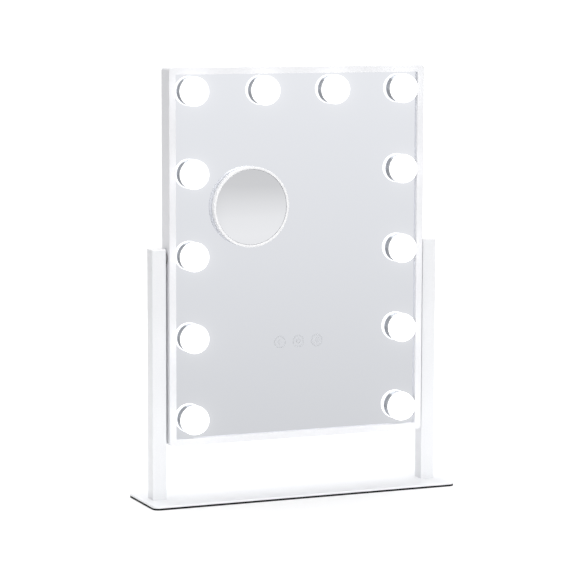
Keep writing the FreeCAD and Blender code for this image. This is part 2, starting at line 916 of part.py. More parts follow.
def make_collar(number, x, z):
    """The plated ring that a globe sits on, with the hollow stud that clamps it to the glass and tray."""
    label = f"bulb_collar_{number:02d}"
    stud_end = f"({glass_front} - {tray_back} - bulb_nut_height - stud_beyond_nut)"
    collar = turned(
        label,
        [
            ("stud_bore", stud_end),
            ("stud_radius", stud_end),
            ("stud_radius", "0"),
            (collar_radius, "0"),
            (collar_radius, "collar_height"),
            ("stud_bore", "collar_height"),
        ],
    )
    radius = value(collar_radius)
    round_edges(collar, "collar_round", lambda edge: is_circle(edge, radius, 0))
    node(on_glass(collar, x, z), label)


def make_led_board(x, z):
    board = cylinder("LedDisc", "led_board_radius", "led_board_thickness", z="collar_height")
    chip = block(
        "LedChip",
        "led_chip_side",
        "led_chip_side",
        "led_chip_height",
        "0",
        "0",
        "collar_height + led_board_thickness",
    )
    return on_glass(fuse(board, chip), x, z)


def make_bulb_nut(x, z):
    nut = doc.addObject("Part::Prism", "BulbNutBlank")
    nut.Polygon = 6
    bind(nut, "Circumradius", "bulb_nut_width / 2 / cos(30)")
    bind(nut, "Height", "bulb_nut_height")
    bore = cylinder("BulbNutBore", "stud_radius + screw_clearance", "bulb_nut_height")
    return place(cut(nut, bore), x, f"{tray_back} + bulb_nut_height", f"{pivot_height} + {z}", to_front)


def make_bulbs():
    for number, (x, z) in enumerate(bulb_places, 1):
        make_dome(number, x, z)
        make_collar(number, x, z)
    group("led_boards", [make_led_board(x, z) for x, z in bulb_places])
    group("bulb_nuts", [make_bulb_nut(x, z) for x, z in bulb_places])


def make_head():
    make_frame()
    make_glass()
    make_tray()
    make_back()
    for name, side in sides.items():
        make_pivot_bracket(name, side)
    group("bracket_rivets", [make_rivet(side, end) for side in sides.values() for end in (-1, 1)])
    make_touch_board()
    make_control_board()
    make_loom()
    make_inlet()
    make_bulbs()


# ---- magnifier: drawn like the bulbs, with the big mirror's glass at height 0 ----
recess_radius = "(magnifier_radius - magnifier_rim_face)"
lens_radius = f"({recess_radius} - magnifier_glass_clearance)"
lens_top = "(magnifier_height - magnifier_glass_drop)"
lens_seat = f"({lens_top} - magnifier_glass_edge)"
shelf_radius = f"({recess_radius} - magnifier_shelf_width)"
back_bore = "(magnifier_back_radius - magnifier_back_inset)"


def on_mirror(thing):
    return on_glass(thing, "magnifier_from_left - frame_width / 2", "frame_height / 2 - magnifier_from_top")


def make_magnifier_rim():
    """The rim narrows towards the big mirror and has a shelf under its own mirror."""
    rim = turned(
        "magnifier_rim",
        [
            (back_bore, "magnifier_lift"),
            ("magnifier_back_radius", "magnifier_lift"),
            ("magnifier_radius", "magnifier_height"),
            (recess_radius, "magnifier_height"),
            (recess_radius, lens_seat),
            (shelf_radius, lens_seat),
            (shelf_radius, "magnifier_plate_front"),
            (back_bore, "magnifier_plate_front"),
        ],
    )
    radius = value("magnifier_radius")
    top = value("magnifier_height")
    round_edges(rim, "magnifier_edge_round", lambda edge: is_circle(edge, radius, top))
    node(on_mirror(rim), "magnifier_rim")


def add_dished_line(sketch, edge_radius, edge_height, sag):
    """An arc from the axis out to the edge, centred on the axis, lower by the sag at the middle."""
    radius = value(edge_radius)
    drop = value(sag)
    curve = (radius**2 + drop**2) / (2 * drop)
    lowest = value(edge_height) - drop
    circle = Part.Circle(Vector(0, lowest + curve, 0), Vector(0, 0, 1), curve)
    end = Vector(radius, value(edge_height), 0)
    arc = sketch.addGeometry(Part.ArcOfCircle(circle, 1.5 * pi, circle.parameter(end)))
    sketch.addConstraint(Sketcher.Constraint("PointOnObject", arc, 3, -2))
    fix_point(sketch, arc, 1, "0", f"{edge_height} - {sag}")
    fix_point(sketch, arc, 2, edge_radius, edge_height)
    return arc


def make_magnifier_mirror():
    """A dished glass, held by its flat back edge on the rim's shelf."""
    lens = new_body("magnifier_mirror")
    sketch = add_sketch(lens, "XZ_Plane")
    front = add_dished_line(sketch, lens_radius, lens_top, "magnifier_sag")
    back = add_dished_line(sketch, shelf_radius, lens_seat, "magnifier_sag")
    edge_top = Vector(value(lens_radius), value(lens_top), 0)
    edge_low = Vector(value(lens_radius), value(lens_seat), 0)
    seat = Vector(value(shelf_radius), value(lens_seat), 0)
    axis_low = Vector(0, value(f"{lens_seat} - magnifier_sag"), 0)
    axis_top = Vector(0, value(f"{lens_top} - magnifier_sag"), 0)
    side = sketch.addGeometry(Part.LineSegment(edge_top, edge_low))
    flat = sketch.addGeometry(Part.LineSegment(edge_low, seat))
    axis = sketch.addGeometry(Part.LineSegment(axis_low, axis_top))
    joins = [(front, 2, side, 1), (side, 2, flat, 1), (flat, 2, back, 2), (back, 1, axis, 1), (axis, 2, front, 1)]
    for join in joins:
        sketch.addConstraint(Sketcher.Constraint("Coincident", *join))
    fix_point(sketch, side, 2, lens_radius, lens_seat)
    revolve(lens, sketch)
    node(on_mirror(lens), "magnifier_mirror")


def suction_angles():
    return (90, 210, 330)


def make_magnifier_back():
    """The plate behind the magnifying mirror, with a hole for each suction cup's neck."""
    plate = new_body("magnifier_back")
    low = "magnifier_plate_front - magnifier_plate_thickness"
    sketch = add_sketch(plate, "XY_Plane", low)
    add_circle(sketch, "0", "0", f"{back_bore} - magnifier_back_fit")
    for angle in suction_angles():
        x = f"suction_circle * cos({angle})"
        y = f"suction_circle * sin({angle})"
        add_circle(sketch, x, y, "suction_neck_radius + screw_clearance")
    pad(plate, sketch, "magnifier_plate_thickness")
    node(on_mirror(plate), "magnifier_back")


def make_suction_cup(angle):
    """A soft disc flat on the big mirror, with a neck that snaps into the back plate."""
    x = f"suction_circle * cos({angle})"
    y = f"suction_circle * sin({angle})"
    foot = "magnifier_plate_front - magnifier_plate_thickness"
    disc = cylinder("SuctionDisc", "suction_radius", foot, x, y)
    neck = cylinder("SuctionNeck", "suction_neck_radius", "magnifier_plate_front", x, y)
    return on_mirror(fuse(disc, neck))


def make_magnifier():
    make_magnifier_rim()
    make_magnifier_mirror()
    make_magnifier_back()
    group("suction_cups", [make_suction_cup(angle) for angle in suction_angles()])


# ---- checks and files ----
def check_document():
    doc.recompute()
    for thing in doc.Objects:
        if {"Invalid", "Error"} & set(thing.State):
            raise ValueError(f"{thing.Label} failed: {thing.State}")
    for body in doc.findObjects("PartDesign::Body"):
        volume = 0
        for feature in body.Group:
            if feature.TypeId == "PartDesign::Pocket" and feature.Shape.Volume > volume - 1e-3:
                raise ValueError(f"{body.Label}: {feature.Label} cuts nothing")
            if feature.TypeId.startswith("PartDesign::"):
                volume = feature.Shape.Volume
    for thing in exported:
        shape = thing.Shape
        if shape.isNull() or not shape.isValid() or not shape.Solids:
            raise ValueError(f"{thing.Label} isn't a valid solid")


make_stand()
make_head()
make_magnifier()
check_document()

os.makedirs("parts", exist_ok=True)
for thing in exported:
    thing.Shape.exportStep(f"parts/{thing.Label}.step")
    box = thing.Shape.BoundBox
    print(f"{thing.Label:20} solids {len(thing.Shape.Solids):2}  y {box.YMin:8.2f} {box.YMax:8.2f}")
print(len(exported), "sub-parts")
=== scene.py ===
import json
import math

import bmesh
import bpy
from mathutils import Matrix, Vector


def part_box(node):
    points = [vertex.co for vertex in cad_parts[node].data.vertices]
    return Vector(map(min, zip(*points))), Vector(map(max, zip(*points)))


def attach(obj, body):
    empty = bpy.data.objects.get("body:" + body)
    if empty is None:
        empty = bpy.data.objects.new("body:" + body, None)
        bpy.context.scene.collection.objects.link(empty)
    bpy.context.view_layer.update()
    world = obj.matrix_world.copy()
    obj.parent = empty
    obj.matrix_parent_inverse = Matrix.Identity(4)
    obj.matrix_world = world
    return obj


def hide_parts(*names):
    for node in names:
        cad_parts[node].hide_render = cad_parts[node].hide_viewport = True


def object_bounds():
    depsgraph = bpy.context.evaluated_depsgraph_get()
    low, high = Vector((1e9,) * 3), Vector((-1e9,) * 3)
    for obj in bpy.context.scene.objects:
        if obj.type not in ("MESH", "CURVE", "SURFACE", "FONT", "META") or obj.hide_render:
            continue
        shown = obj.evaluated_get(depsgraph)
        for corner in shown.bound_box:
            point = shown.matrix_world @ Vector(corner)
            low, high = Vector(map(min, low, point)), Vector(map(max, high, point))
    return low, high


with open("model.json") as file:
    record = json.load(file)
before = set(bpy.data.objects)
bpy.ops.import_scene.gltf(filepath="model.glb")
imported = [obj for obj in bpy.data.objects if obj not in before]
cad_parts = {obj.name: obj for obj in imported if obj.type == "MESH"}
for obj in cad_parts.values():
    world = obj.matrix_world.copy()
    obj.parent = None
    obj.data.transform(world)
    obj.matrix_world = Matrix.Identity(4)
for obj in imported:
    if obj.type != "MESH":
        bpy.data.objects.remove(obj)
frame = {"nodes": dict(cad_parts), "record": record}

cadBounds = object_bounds()
scene = bpy.context.scene
nodes = frame["nodes"]
mm = 0.001
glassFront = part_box("mirror_glass")[0].y  # everything on the mirror is measured forwards from here


# The camera stands to the left of the mirror and a little above it. Its place is measured from the middle of
# the frame's front.
viewpoint = {
    "offset": (-1.091, -2.532, 0.297),
    "yaw": 23.07,
    "pitch": -6.93,
    "roll": 0.16,
    "lens": 157.9,
    "sensor": 36,
}


def addCamera():
    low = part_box("frame_bottom_rail")[0]
    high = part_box("frame_top_rail")[1]
    camera = bpy.data.objects.new("camera", bpy.data.cameras.new("camera"))
    camera.data.lens = viewpoint["lens"]
    camera.data.sensor_width = viewpoint["sensor"]
    camera.data.clip_end = 60
    camera.location = Vector((0, low.y, (low.z + high.z) / 2)) + Vector(viewpoint["offset"])
    turn = Matrix.Rotation(math.radians(-viewpoint["yaw"]), 4, "Z")
    tip = Matrix.Rotation(math.radians(90 + viewpoint["pitch"]), 4, "X")
    roll = Matrix.Rotation(math.radians(viewpoint["roll"]), 4, "Z")
    camera.rotation_euler = (turn @ tip @ roll).to_euler()
    scene.collection.objects.link(camera)
    scene.camera = camera


addCamera()
print("camera placed")


# Shapes: profiles with softened corners, turned about an axis or lofted as rounded rectangles.
def softened(points, closed=False, steps=5):
    line = []
    count = len(points)
    for index, point in enumerate(points):
        here = Vector(point[:2])
        bend = point[2] if len(point) > 2 else 0
        if not bend or (not closed and index in (0, count - 1)):
            line.append(here)
            continue
        back = Vector(points[index - 1][:2]) - here
        ahead = Vector(points[(index + 1) % count][:2]) - here
        half = back.angle(ahead) / 2
        reach = min(bend / math.tan(half), back.length * 0.49, ahead.length * 0.49)
        middle = here + (back.normalized() + ahead.normalized()).normalized() * reach / math.cos(half)
        first = here + back.normalized() * reach - middle
        last = here + ahead.normalized() * reach - middle
        arm = first.length
        line += [middle + first.slerp(last, step / steps).normalized() * arm for step in range(steps + 1)]
    return line


def joinRings(form, rings):
    for lower, upper in zip(rings, rings[1:]):
        count = max(len(lower), len(upper))
        for k in range(count):
            corners = [lower[k % len(lower)], lower[(k + 1) % len(lower)]]
            corners += [upper[(k + 1) % len(upper)], upper[k % len(upper)]]
            corners = list(dict.fromkeys(corners))
            if len(corners) > 2:
                form.faces.new(corners)


def turnedForm(form, profile, centre, closed=False, segments=96, forwards=-1):
    rings = []
    for radius, height in profile:
        y = centre.y + forwards * height * mm
        reach = radius * mm
        around = [2 * math.pi * k / segments for k in range(segments)] if radius > 1e-4 else [0]
        ring = [(centre.x + reach * math.cos(a), y, centre.z + reach * math.sin(a)) for a in around]
        rings.append([form.verts.new(place) for place in ring])
    joinRings(form, rings + rings[:1] if closed else rings)


def loftedForm(form, middle, size, corner, levels, steps=8):
    rings = []
    for height, inset in levels:
        wide, deep = size[0] / 2 - inset, size[1] / 2 - inset
        bend = max(corner - inset, 0.05)
        corners = [(-wide, -deep, bend), (wide, -deep, bend), (wide, deep, bend), (-wide, deep, bend)]
        outline = softened(corners, closed=True, steps=steps)
        ring = [(middle.x + a * mm, middle.y + b * mm, height * mm) for a, b in outline]
        rings.append([form.verts.new(place) for place in ring])
    joinRings(form, rings)
    form.faces.new(list(reversed(rings[0])))
    form.faces.new(rings[-1])


def strokeForm(form, line, width, closed, back, front):
    count = len(line)
    rungs = []
    for k, point in enumerate(line):
        before = line[k - 1] if closed or k else point
        after = line[(k + 1) % count] if closed or k < count - 1 else point
        along = (after - before).normalized()
        side = Vector((-along.y, along.x)) * width / 2
        ends = [point + side, point - side]
        rungs.append([form.verts.new((p.x, y, p.y)) for y in (back, front) for p in ends])
    order = (0, 1, 3, 2)
    for one, two in zip(rungs, rungs[1:] + (rungs[:1] if closed else [])):
        for a, b in zip(order, order[1:] + order[:1]):
            form.faces.new((one[a], one[b], two[b], two[a]))
    if not closed:
        form.faces.new([rungs[0][k] for k in order])
        form.faces.new([rungs[-1][k] for k in reversed(order)])


def addPiece(name, form, material, body, replaced=(), sharpAbove=38):
    bmesh.ops.recalc_face_normals(form, faces=form.faces[:])
    mesh = bpy.data.meshes.new(name)
    form.to_mesh(mesh)
    form.free()
    mesh.shade_smooth()
    mesh.set_sharp_from_angle(angle=math.radians(sharpAbove))
    mesh.materials.append(material)
    piece = bpy.data.objects.new(name, mesh)
    scene.collection.objects.link(piece)
    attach(piece, body)
    if replaced:
        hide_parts(*replaced)
    return piece


def middleOf(name):
    low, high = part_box(name)
    return (low + high) / 2


def solidBoxes(name):
    form = bmesh.new()
    form.from_mesh(nodes[name].data)
    bmesh.ops.remove_doubles(form, verts=form.verts[:], dist=1e-6)
    waiting = set(form.verts)
    boxes = []
    while waiting:
        edge = [waiting.pop()]
        solid = []
        while edge:
            vertex = edge.pop()
            solid.append(vertex.co.copy())
            joined = [e.other_vert(vertex) for e in vertex.link_edges]
            fresh = [v for v in joined if v in waiting]
            waiting.difference_update(fresh)
            edge += fresh
        low = Vector([min(c[i] for c in solid) for i in range(3)])
        high = Vector([max(c[i] for c in solid) for i in range(3)])
        boxes.append((low, high))
    form.free()
    return sorted(boxes, key=lambda box: (round(box[0].z, 5), round(box[0].x, 5)))


# Materials
def linear(hexText):
    channels = [int(hexText[k : k + 2], 16) / 255 for k in (1, 3, 5)]
    return [c / 12.92 if c <= 0.04045 else ((c + 0.055) / 1.055) ** 2.4 for c in channels] + [1]


def addNode(tree, kind, values=None, links=None, **settings):
    node = tree.nodes.new(kind)
    for name, setting in settings.items():
        setattr(node, name, setting)
    for socket, amount in (values or {}).items():
        node.inputs[socket].default_value = amount
    for socket, source in (links or {}).items():
        tree.links.new(source, node.inputs[socket])
    return node


def newMaterial(name, **values):
    material = bpy.data.materials.new(name)
    material.use_nodes = True
    shader = material.node_tree.nodes["Principled BSDF"]
    for socket, amount in values.items():
        shader.inputs[socket.replace("_", " ")].default_value = amount
    return material, material.node_tree, shader


def grainedMaterial(name, colours, rough, grain, depth, stretch=(1, 1, 1), cells=False, **values):
    # colours, rough: what the grain's hollows and tops take; grain, depth: its size and relief in mm
    material, tree, shader = newMaterial(name, **values)
    place = addNode(tree, "ShaderNodeTexCoord")
    mapping = addNode(tree, "ShaderNodeMapping", {"Scale": stretch}, {"Vector": place.outputs["Object"]})
    kind = "ShaderNodeTexVoronoi" if cells else "ShaderNodeTexNoise"
    fineness = {"Scale": 1 / (grain * mm), "Detail": 3}
    pattern = addNode(tree, kind, fineness, {"Vector": mapping.outputs["Vector"]})
    height = pattern.outputs["Distance" if cells else "Fac"]
    spread = {"From Min": 0.0 if cells else 0.32, "From Max": 0.9 if cells else 0.68}
    shade = addNode(tree, "ShaderNodeMapRange", spread, {"Value": height})
    colour = addNode(
        tree,
        "ShaderNodeMix",
        {6: linear(colours[0]), 7: linear(colours[1])},
        {"Factor": shade.outputs["Result"]},
        data_type="RGBA",
    )
    tree.links.new(colour.outputs[2], shader.inputs["Base Color"])
    gloss = addNode(
        tree,
        "ShaderNodeMapRange",
        {**spread, "To Min": rough[0], "To Max": rough[1]},
        {"Value": height},
    )
    tree.links.new(gloss.outputs["Result"], shader.inputs["Roughness"])
    bump = addNode(tree, "ShaderNodeBump", {"Distance": depth * mm, "Strength": 1.0}, {"Height": height})
    tree.links.new(bump.outputs["Normal"], shader.inputs["Normal"])
    return material


# Steel with baked polyester powder: satin white, with an orange peel of about 1.5 mm in its shine.
powderCoatedSteel = grainedMaterial("powderCoatedSteel", ("#EAEBEE", "#EDEEF0"), (0.36, 0.44), 1.6, 0.003)
# Extruded aluminium under the same powder: smoother, with faint lines along the draw.
powderCoatedAluminium = grainedMaterial(
    "powderCoatedAluminium", ("#ECEDF0", "#EFEFF2"), (0.3, 0.38), 2.2, 0.002
)
# Moulded ABS from a polished tool: wet-looking white with a slow waviness.
glossMouldedAbs = grainedMaterial(
    "glossMouldedAbs", ("#F4F4F6", "#F8F8F9"), (0.2, 0.27), 6, 0.004, IOR=1.53
)
# Moulded ABS from a spark-eroded tool: dry white with a fine even grain.
sparkedMouldedAbs = grainedMaterial(
    "sparkedMouldedAbs", ("#E6E7E9", "#EFEFF1"), (0.5, 0.64), 0.9, 0.03, IOR=1.53
)
# Dark nickel on brass, buffed: nearly a mirror but smoky, so that each collar shows under its white globe.
# Its hairline swirls are drawn several times coarser than real ones, to show at all.
buffedNickel = grainedMaterial(
    "buffedNickel", ("#8E9195", "#A9ACB0"), (0.05, 0.1), 0.8, 0.001, stretch=(1, 6, 1), Metallic=1.0
)
# Closed-cell EVA, die cut: soft black with cells of about 1 mm on its cut sides.
closedCellEva = grainedMaterial("closedCellEva", ("#050506", "#121214"), (0.8, 0.95), 1.1, 0.12, cells=True)
# Silicone rubber, moulded clear: water-white with a greasy gloss.
clearSilicone = grainedMaterial(
    "clearSilicone", ("#E9EFF2", "#F4F8FA"), (0.18, 0.3), 2.5, 0.01, IOR=1.41, Transmission_Weight=0.85
)
# Steel, rolled and zinc plated: grey with a blue cast and a streaked passivation.
zincPlatedSteel = grainedMaterial(
    "zincPlatedSteel", ("#AEB2B9", "#CDCFD2"), (0.26, 0.42), 0.7, 0.004, stretch=(1, 1, 4), Metallic=1.0
)
# Nylon, turned from natural rod, its white painted a soft grey: painted shade, so that it stays dark in the
# gap.
nylonGreyedAsShade = grainedMaterial(
    "nylonGreyedAsShade", ("#6F6F72", "#88888B"), (0.42, 0.55), 0.8, 0.02, stretch=(4, 1, 1), IOR=1.53
)
# Acrylic foam tape: grey, open and dull.
foamTape = grainedMaterial("foamTape", ("#55565A", "#74757A"), (0.85, 1.0), 0.8, 0.06, cells=True)
# Glass-fibre board under green solder mask: a weave of 0.5 mm just shows through the lacquer.
solderMaskedBoard = grainedMaterial(
    "solderMaskedBoard", ("#134D29", "#236F3F"), (0.25, 0.4), 0.5, 0.01, cells=True
)
# PVC ribbon cable: cream with its cores standing proud as stripes 1.3 mm apart.
ribbedPvc = grainedMaterial("ribbedPvc", ("#BFAF86", "#DDD0A6"), (0.35, 0.5), 1.3, 0.15, stretch=(1, 1, 0.04))
# Braided wire sleeve: pale grey threads.
braidedSleeve = grainedMaterial("braidedSleeve", ("#BEBFC2", "#E2E3E5"), (0.5, 0.7), 1.2, 0.12, cells=True)
# Moulded black ABS, semi-gloss.
blackMouldedAbs = grainedMaterial("blackMouldedAbs", ("#0D0D0F", "#19191B"), (0.3, 0.42), 1.2, 0.02, IOR=1.53)
# Silver etched away from behind the glass: a flat pale grey that doesn't mirror.
etchedSilver = grainedMaterial("etchedSilver", ("#C2C4C9", "#CBCDD1"), (0.45, 0.6), 0.5, 0.002)

# Float glass silvered on its back: a clean mirror with a cold cast. It has no grain of its own to show.
silveredGlass = newMaterial("silveredGlass", Base_Color=linear("#EEF0F5"), Metallic=1.0, Roughness=0.0)[0]
# Low-iron glass bent and silvered: the same clean mirror without the cold cast.
bentSilveredGlass = newMaterial(
    "bentSilveredGlass", Base_Color=linear("#EDEEF1"), Metallic=1.0, Roughness=0.0
)[0]


# Opal polycarbonate, blow moulded and lit from inside: even white light, a little weaker down by the collar.
opalLight = {"colour": "#F0F0F0", "glow": "#FFFEFC", "collarStrength": 1.0, "tipStrength": 1.5}


def opalPolycarbonate():
    material, tree, shader = newMaterial(
        "opalPolycarbonate", Base_Color=linear(opalLight["colour"]), Roughness=0.3, IOR=1.58
    )
    low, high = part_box("bulb_dome_01")
    place = addNode(tree, "ShaderNodeTexCoord")
    split = addNode(tree, "ShaderNodeSeparateXYZ", links={"Vector": place.outputs["Object"]})
    strength = addNode(
        tree,
        "ShaderNodeMapRange",
        {
            "From Min": high.y,
            "From Max": low.y,
            "To Min": opalLight["collarStrength"],
            "To Max": opalLight["tipStrength"],
        },
        {"Value": split.outputs["Y"]},
    )
    shader.inputs["Emission Color"].default_value = linear(opalLight["glow"])
    tree.links.new(strength.outputs["Result"], shader.inputs["Emission Strength"])
    return material


opal = opalPolycarbonate()

finishes = {
    "painted_steel_white": powderCoatedSteel,
    "painted_aluminium_white": powderCoatedAluminium,
    "abs_white_gloss": glossMouldedAbs,
    "silvered_glass": silveredGlass,
    "opal_polycarbonate": opal,
    "chrome_plate": buffedNickel,
    "eva_foam_black": closedCellEva,
    "silicone_clear": clearSilicone,
    "zinc_steel": zincPlatedSteel,
    "nylon_white": nylonGreyedAsShade,
    "abs_white_matt": sparkedMouldedAbs,
    "foam_tape_grey": foamTape,
    "circuit_board": solderMaskedBoard,
    "ribbon_cable": ribbedPvc,
    "wire_sleeve": braidedSleeve,
    "abs_black": blackMouldedAbs,
}
slotOf = {part["node"]: part["material_slot"] for part in frame["record"]["subparts"]}
for name, node in nodes.items():
    node.data.materials.clear()
    node.data.materials.append(finishes[slotOf[name]])
print("finishes made:", len(finishes))


# The foot: a steel plate on a foam pad, and two square posts with moulded caps.
foot = {
    "corner": 7,
    "plateTopRound": 0.7,
    "plateBottomRound": 0.25,
    "plateMargin": 1.5,     # how far in from its edge each flat face starts
    "padRound": 0.3,
    "padTopRound": 0.1,
    "padMargin": 1.2,
    "cornerSteps": 10,
}


def addFoot():
    low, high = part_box("base_plate")
    middle = (low + high) / 2
    size = ((high.x - low.x) / mm, (high.y - low.y) / mm)
    bottom, top = low.z / mm, high.z / mm
    # each level is (inset, height); the first and last give the flat faces their own edge loop
    margin = foot["plateMargin"]
    edge = softened(
        [
            (margin, bottom),
            (0, bottom, foot["plateBottomRound"]),
            (0, top, foot["plateTopRound"]),
            (margin, top),
        ]
    )
    levels = [(height, inset) for inset, height in edge]
    form = bmesh.new()
    loftedForm(form, middle, size, foot["corner"], levels, steps=foot["cornerSteps"])
    addPiece("base_plate_skin", form, powderCoatedSteel, "stand", ["base_plate"])

    low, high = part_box("base_pad")
    bottom, top = low.z / mm, high.z / mm
    margin = foot["padMargin"]
    edge = softened(
        [(margin, bottom), (0, bottom, foot["padRound"]), (0, top, foot["padTopRound"]), (margin, top)]
    )
    levels = [(height, inset) for inset, height in edge]
    form = bmesh.new()
    loftedForm(form, middle, size, foot["corner"], levels, steps=foot["cornerSteps"])
    addPiece("base_pad_foam", form, closedCellEva, "stand", ["base_pad"])


caps = {
    "side": 16,
    "corner": 1.1,
    "round": 0.5,
    "crown": 0.25,       # how far the middle of the top stands above its rim
    "crownEdge": 2.2,    # insets at which the crown bends and at which it is flat
    "crownFlat": 5.5,
    "plugInset": 1.35,
    "reveal": 0.05,
}


def addCaps():
    form = bmesh.new()
    for side in ("left", "right"):
        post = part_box(f"{side}_post")
        seat = post[1].z / mm
        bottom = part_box("post_caps")[0].z / mm
        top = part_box("post_caps")[1].z / mm
        edge = softened(
            [
                (caps["plugInset"], bottom),
                (caps["plugInset"], seat),
                (caps["reveal"], seat, 0.1),
                (caps["reveal"], top - caps["crown"], caps["round"]),
                (caps["crownEdge"], top - caps["crown"] * 0.4),
                (caps["crownFlat"], top),
            ]
        )
        middle = (post[0] + post[1]) / 2
        size = (caps["side"], caps["side"])
        loftedForm(form, middle, size, caps["corner"], [(height, inset) for inset, height in edge])
    addPiece("post_cap_pair", form, glossMouldedAbs, "stand", ["post_caps"])


addFoot()
addCaps()
print("foot built")


# Bulbs: a blow-moulded globe on a plated collar whose hollow stud clamps it to the glass.
bulb = {
    "skirt": 0.9,        # height of the straight skirt under the globe
    "seam": 0.12,        # depth of the line between skirt and globe
    "arcSteps": 30,
    "segments": 80,
}
collar = {
    "foot": 0.5,         # rounding where the ring meets the glass
    "beadHeight": 2.2,
    "beadWidth": 0.9,
    "beadDepth": 0.35,
    "studRadius": 5,
    "studBore": 2,
}


def addBulb(number):
    dome, ring = f"bulb_dome_{number:02d}", f"bulb_collar_{number:02d}"
    low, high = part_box(dome)
    centre = Vector(((low.x + high.x) / 2, glassFront, (low.z + high.z) / 2))
    radius = (high.x - low.x) / 2 / mm
    seat = (glassFront - high.y) / mm
    core = (glassFront - low.y) / mm - radius
    skirtTop = seat + bulb["skirt"]
    skirtRadius = math.sqrt(radius**2 - (core - seat) ** 2)
    start = math.asin((skirtTop + 0.25 - core) / radius)
    profile = softened(
        [
            (0, seat),
            (skirtRadius - 0.6, seat),
            (skirtRadius, seat, 0.25),
            (skirtRadius, skirtTop, 0.1),
            (skirtRadius - bulb["seam"], skirtTop + 0.08),
        ]
    )
    for step in range(bulb["arcSteps"] + 1):
        a = start + (math.pi / 2 - start) * step / bulb["arcSteps"]
        profile.append(Vector((max(radius * math.cos(a), 0), core + radius * math.sin(a))))
    profile[-1].x = 0
    form = bmesh.new()
    turnedForm(form, profile, centre, segments=bulb["segments"])
    addPiece(f"globe_{number:02d}", form, opal, "mirror_head", [dome])

    low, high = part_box(ring)
    radius = (high.x - low.x) / 2 / mm
    deep = (glassFront - high.y) / mm
    bead, half, sunk = collar["beadHeight"], collar["beadWidth"] / 2, radius - collar["beadDepth"]
    profile = softened(
        [
            (collar["studBore"], seat),
            (radius - 0.2, seat, 0.2),
            (radius, seat - 0.5, 0.2),
            (radius, bead + half, 0.1),
            (sunk, bead + half - 0.15, 0.1),
            (sunk, bead - half + 0.15, 0.1),
            (radius, bead - half, 0.1),
            (radius, 0.02, collar["foot"]),
            (collar["studRadius"], 0.02),
            (collar["studRadius"], deep, 0.3),
            (collar["studBore"], deep, 0.2),
        ],
        closed=True,
        steps=3,
    )
    form = bmesh.new()
    turnedForm(form, profile, centre, closed=True, segments=bulb["segments"])
    addPiece(f"collar_{number:02d}", form, buffedNickel, "mirror_head", [ring])


for number in range(1, 13):
    addBulb(number)
print("bulbs built")


# The magnifier: a concave mirror snapped into a moulded rim.
magnifier = {
    # where the front ring snaps onto the body, and the depth and width of the groove left between them
    "partingHeight": 6.5,
    "partingDepth": 0.8,
    "partingWidth": 0.45,
    "backRound": 0.3,
    "frontRound": 0.9,
    "innerRound": 0.45,
    "faceWidth": 2.6,
    "shelfWidth": 3.3,
    "shelfThick": 1.6,
    "wallWidth": 3,
    "mirrorThick": 1.6,
    "mirrorSag": 2.4,
    "seamedEdge": 0.25,
    "rings": 40,
    "segments": 144,
}


def addMagnifier():
    low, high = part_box("magnifier_rim")
    centre = Vector(((low.x + high.x) / 2, glassFront, (low.z + high.z) / 2))
    radius = (high.x - low.x) / 2 / mm
    front, back = (glassFront - low.y) / mm, (glassFront - high.y) / mm
    low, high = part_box("magnifier_mirror")
    mirrorFront = (glassFront - low.y) / mm
    mirrorRadius = (high.x - low.x) / 2 / mm
    parting = magnifier["partingHeight"]
    inner = radius - magnifier["faceWidth"]
    shelf = inner - magnifier["shelfWidth"]
    mirrorBack = mirrorFront - magnifier["mirrorThick"]
    wall = radius - magnifier["wallWidth"]
    groove = radius - magnifier["partingDepth"]
    width = magnifier["partingWidth"]
    profile = softened(
        [
            (wall, back),
            (radius - 0.3, back, magnifier["backRound"]),
            (radius - 0.05, parting, 0.1),
            (groove, parting + 0.1, 0.1),
            (groove, parting + 0.1 + width, 0.1),
            (radius, parting + 0.2 + width, 0.1),
            (radius, front, magnifier["frontRound"]),
            (inner, front, magnifier["innerRound"]),
            (inner, mirrorBack, 0.1),
            (shelf, mirrorBack, 0.2),
            (shelf, mirrorBack - magnifier["shelfThick"], 0.2),
            (wall, mirrorBack - magnifier["shelfThick"] - 0.4, 0.2),
        ],
        closed=True,
    )
    form = bmesh.new()
    turnedForm(form, profile, centre, closed=True, segments=magnifier["segments"])
    addPiece("magnifier_ring", form, glossMouldedAbs, "magnifier", ["magnifier_rim"])

    sag = magnifier["mirrorSag"]
    profile = []
    for k in range(magnifier["rings"] + 1):
        share = k / magnifier["rings"]
        profile.append((mirrorRadius * share, mirrorFront - sag * (1 - share**2)))
    seamed = magnifier["seamedEdge"]
    profile[-1] = (mirrorRadius - seamed, mirrorFront - 0.03)
    profile += [(mirrorRadius, mirrorFront - seamed), (mirrorRadius, mirrorBack + 0.02)]
    profile += [(mirrorRadius * 0.5, mirrorBack - sag * 0.6), (0, mirrorBack - sag * 0.8)]
    form = bmesh.new()
    turnedForm(form, profile, centre, segments=magnifier["segments"])
    addPiece("magnifier_glass", form, bentSilveredGlass, "magnifier", ["magnifier_mirror"])


addMagnifier()
print("magnifier built")


# Back panel screws: pan heads with a cross recess, one for each solid of the CAD node.
screw = {
    "crown": 0.5,          # how far the head's rim sits below its middle
    "shank": 0.5,          # the shank's radius and the recess's reach, as shares of the head's radius
    "reach": 0.6,
    "recessWidth": 0.7,
    "recessDepth": 0.8,
    "tip": 0.4,            # length of the pointed end
    "lean": 0.6,           # radians that each cross is turned on from the one before
    "segments": 48,
}


